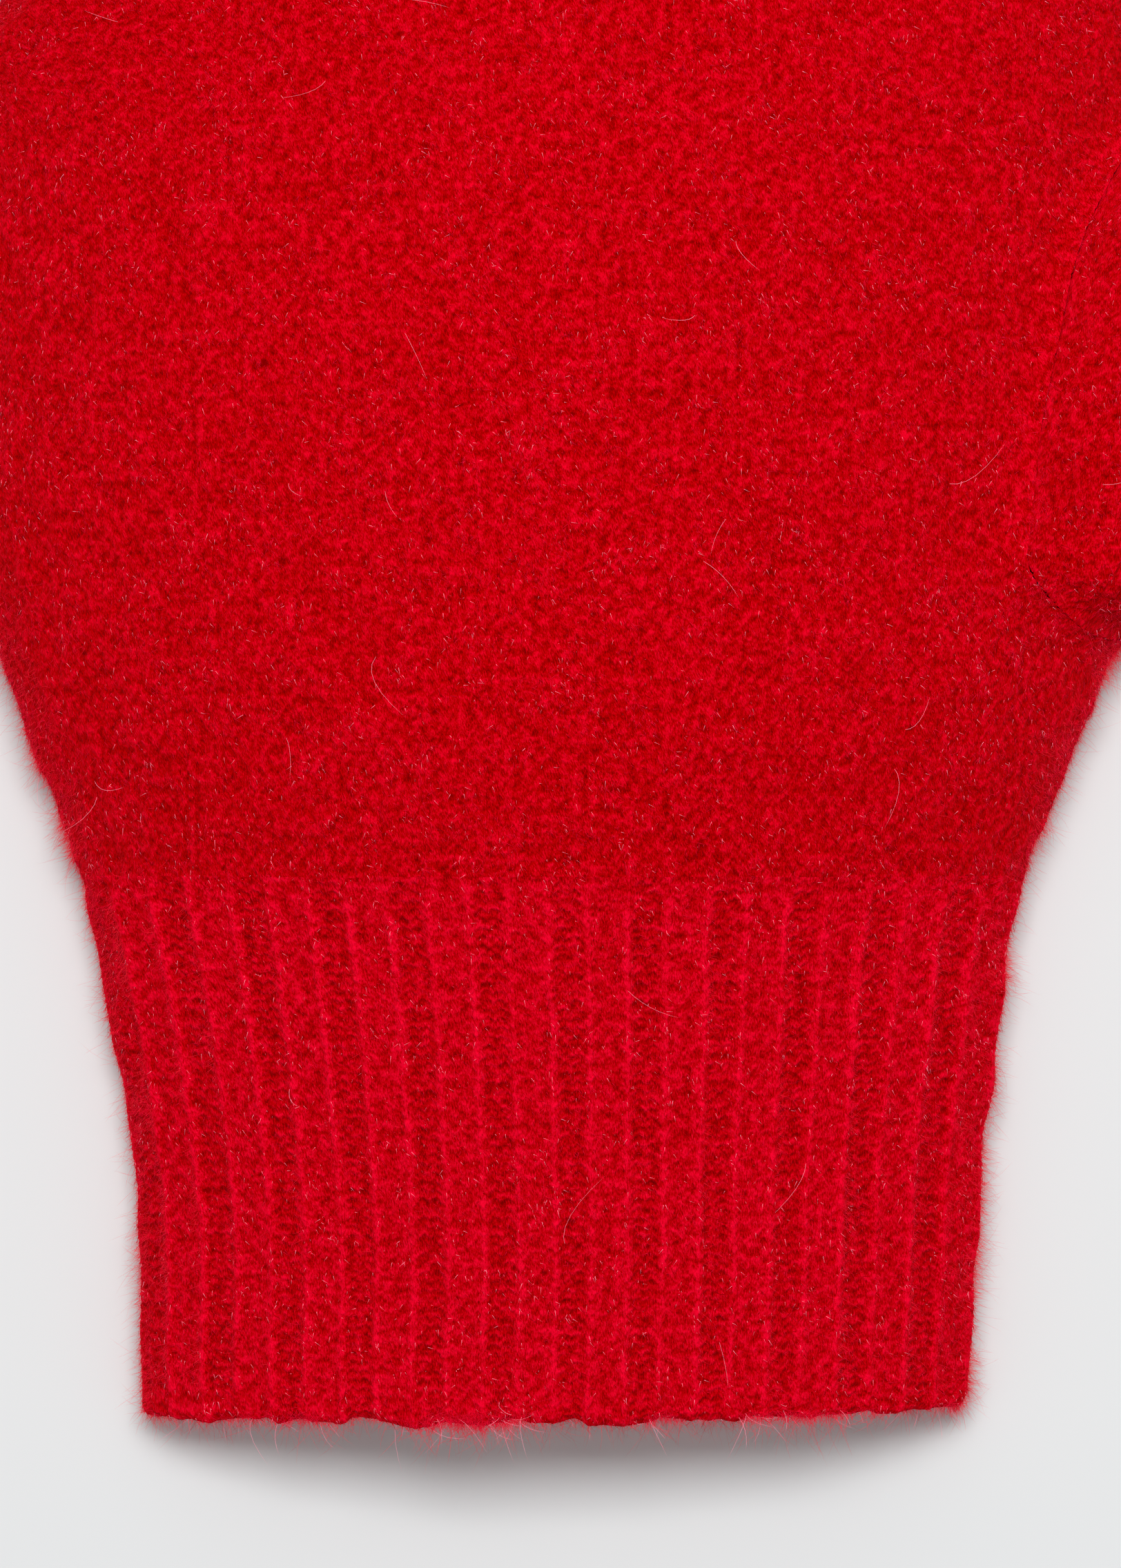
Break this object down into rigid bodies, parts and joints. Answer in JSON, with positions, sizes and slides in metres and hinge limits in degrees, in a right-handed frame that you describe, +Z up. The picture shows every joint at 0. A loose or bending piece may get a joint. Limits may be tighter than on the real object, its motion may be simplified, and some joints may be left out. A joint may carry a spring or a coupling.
{
  "type": "knitted gloves",
  "caption": "Pair of long-fingered knitted gloves with ribbed cuffs, lying palm up; fingers, thumbs and wrists bend.",
  "frame": {"origin": "on the surface the gloves lie on, midway between them and halfway along them", "axes": "+X across the pair towards the right glove's thumb, +Y from the cuffs to the fingertips, +Z up out of the palms"},
  "size_m": [0.3088, 0.222, 0.022],
  "materials": {
    "red_knit": "brushed knit",
    "red_rib": "ribbed knit"
  },
  "bodies": {
    "right_hand": {"right_hand": "red_knit"},
    "right_cuff": {"right_rib_cuff": "red_rib", "right_cuff_edge": "red_rib"},
    "right_index_base": {"right_index_base": "red_knit"},
    "right_index_tip": {"right_index_tip": "red_knit"},
    "right_middle_base": {"right_middle_base": "red_knit"},
    "right_middle_tip": {"right_middle_tip": "red_knit"},
    "right_ring_base": {"right_ring_base": "red_knit"},
    "right_ring_tip": {"right_ring_tip": "red_knit"},
    "right_little_base": {"right_little_base": "red_knit"},
    "right_little_tip": {"right_little_tip": "red_knit"},
    "right_thumb_base": {"right_thumb_base": "red_knit"},
    "right_thumb_tip": {"right_thumb_tip": "red_knit"},
    "left_hand": {"left_hand": "red_knit"},
    "left_cuff": {"left_rib_cuff": "red_rib", "left_cuff_edge": "red_rib"},
    "left_index_base": {"left_index_base": "red_knit"},
    "left_index_tip": {"left_index_tip": "red_knit"},
    "left_middle_base": {"left_middle_base": "red_knit"},
    "left_middle_tip": {"left_middle_tip": "red_knit"},
    "left_ring_base": {"left_ring_base": "red_knit"},
    "left_ring_tip": {"left_ring_tip": "red_knit"},
    "left_little_base": {"left_little_base": "red_knit"},
    "left_little_tip": {"left_little_tip": "red_knit"},
    "left_thumb_base": {"left_thumb_base": "red_knit"},
    "left_thumb_tip": {"left_thumb_tip": "red_knit"}
  },
  "joints": [
    {"name": "right_wrist", "type": "hinge", "parent": "right_hand", "child": "right_cuff", "pos_m": [0.06, -0.0626, 0.011], "axis": [-1, 0, 0], "range_deg": [0, 60]},
    {"name": "right_index_knuckle", "type": "hinge", "parent": "right_hand", "child": "right_index_base", "pos_m": [0.09523, 0.03932, 0.009], "axis": [0.999, -0.0436, 0], "range_deg": [0, 80]},
    {"name": "right_index_middle", "type": "hinge", "parent": "right_index_base", "child": "right_index_tip", "pos_m": [0.0966, 0.07066, 0.009], "axis": [0.999, -0.0436, 0], "range_deg": [0, 90]},
    {"name": "right_middle_knuckle", "type": "hinge", "parent": "right_hand", "child": "right_middle_base", "pos_m": [0.0716, 0.04119, 0.009], "axis": [1, 0, 0], "range_deg": [0, 80]},
    {"name": "right_middle_middle", "type": "hinge", "parent": "right_middle_base", "child": "right_middle_tip", "pos_m": [0.0716, 0.07574, 0.009], "axis": [1, 0, 0], "range_deg": [0, 90]},
    {"name": "right_ring_knuckle", "type": "hinge", "parent": "right_hand", "child": "right_ring_base", "pos_m": [0.04813, 0.03979, 0.009], "axis": [0.9986, 0.0523, 0], "range_deg": [0, 80]},
    {"name": "right_ring_middle", "type": "hinge", "parent": "right_ring_base", "child": "right_ring_tip", "pos_m": [0.04646, 0.07165, 0.009], "axis": [0.9986, 0.0523, 0], "range_deg": [0, 90]},
    {"name": "right_little_knuckle", "type": "hinge", "parent": "right_hand", "child": "right_little_base", "pos_m": [0.02568, 0.03545, 0.009], "axis": [0.9903, 0.1392, 0], "range_deg": [0, 80]},
    {"name": "right_little_middle", "type": "hinge", "parent": "right_little_base", "child": "right_little_tip", "pos_m": [0.0222, 0.06021, 0.009], "axis": [0.9903, 0.1392, 0], "range_deg": [0, 90]},
    {"name": "right_thumb_knuckle", "type": "hinge", "parent": "right_hand", "child": "right_thumb_base", "pos_m": [0.12734, 0.00538, 0.0095], "axis": [0.9135, -0.4067, 0], "range_deg": [0, 60]},
    {"name": "right_thumb_middle", "type": "hinge", "parent": "right_thumb_base", "child": "right_thumb_tip", "pos_m": [0.13792, 0.02913, 0.0095], "axis": [0.9135, -0.4067, 0], "range_deg": [0, 75]},
    {"name": "left_wrist", "type": "hinge", "parent": "left_hand", "child": "left_cuff", "pos_m": [-0.06, -0.0626, 0.011], "axis": [-1, 0, 0], "range_deg": [0, 60]},
    {"name": "left_index_knuckle", "type": "hinge", "parent": "left_hand", "child": "left_index_base", "pos_m": [-0.09523, 0.03932, 0.009], "axis": [0.999, 0.0436, 0], "range_deg": [0, 80]},
    {"name": "left_index_middle", "type": "hinge", "parent": "left_index_base", "child": "left_index_tip", "pos_m": [-0.0966, 0.07066, 0.009], "axis": [0.999, 0.0436, 0], "range_deg": [0, 90]},
    {"name": "left_middle_knuckle", "type": "hinge", "parent": "left_hand", "child": "left_middle_base", "pos_m": [-0.0716, 0.04119, 0.009], "axis": [1, 0, 0], "range_deg": [0, 80]},
    {"name": "left_middle_middle", "type": "hinge", "parent": "left_middle_base", "child": "left_middle_tip", "pos_m": [-0.0716, 0.07574, 0.009], "axis": [1, 0, 0], "range_deg": [0, 90]},
    {"name": "left_ring_knuckle", "type": "hinge", "parent": "left_hand", "child": "left_ring_base", "pos_m": [-0.04813, 0.03979, 0.009], "axis": [0.9986, -0.0523, 0], "range_deg": [0, 80]},
    {"name": "left_ring_middle", "type": "hinge", "parent": "left_ring_base", "child": "left_ring_tip", "pos_m": [-0.04646, 0.07165, 0.009], "axis": [0.9986, -0.0523, 0], "range_deg": [0, 90]},
    {"name": "left_little_knuckle", "type": "hinge", "parent": "left_hand", "child": "left_little_base", "pos_m": [-0.02568, 0.03545, 0.009], "axis": [0.9903, -0.1392, 0], "range_deg": [0, 80]},
    {"name": "left_little_middle", "type": "hinge", "parent": "left_little_base", "child": "left_little_tip", "pos_m": [-0.0222, 0.06021, 0.009], "axis": [0.9903, -0.1392, 0], "range_deg": [0, 90]},
    {"name": "left_thumb_knuckle", "type": "hinge", "parent": "left_hand", "child": "left_thumb_base", "pos_m": [-0.12734, 0.00538, 0.0095], "axis": [0.9135, 0.4067, 0], "range_deg": [0, 60]},
    {"name": "left_thumb_middle", "type": "hinge", "parent": "left_thumb_base", "child": "left_thumb_tip", "pos_m": [-0.13792, 0.02913, 0.0095], "axis": [0.9135, 0.4067, 0], "range_deg": [0, 75]},
    {"name": "left_glove_lift", "type": "slide", "parent": "right_hand", "child": "left_hand", "axis": [0, 0, 1], "range_m": [0, 0.08]}
  ]
}
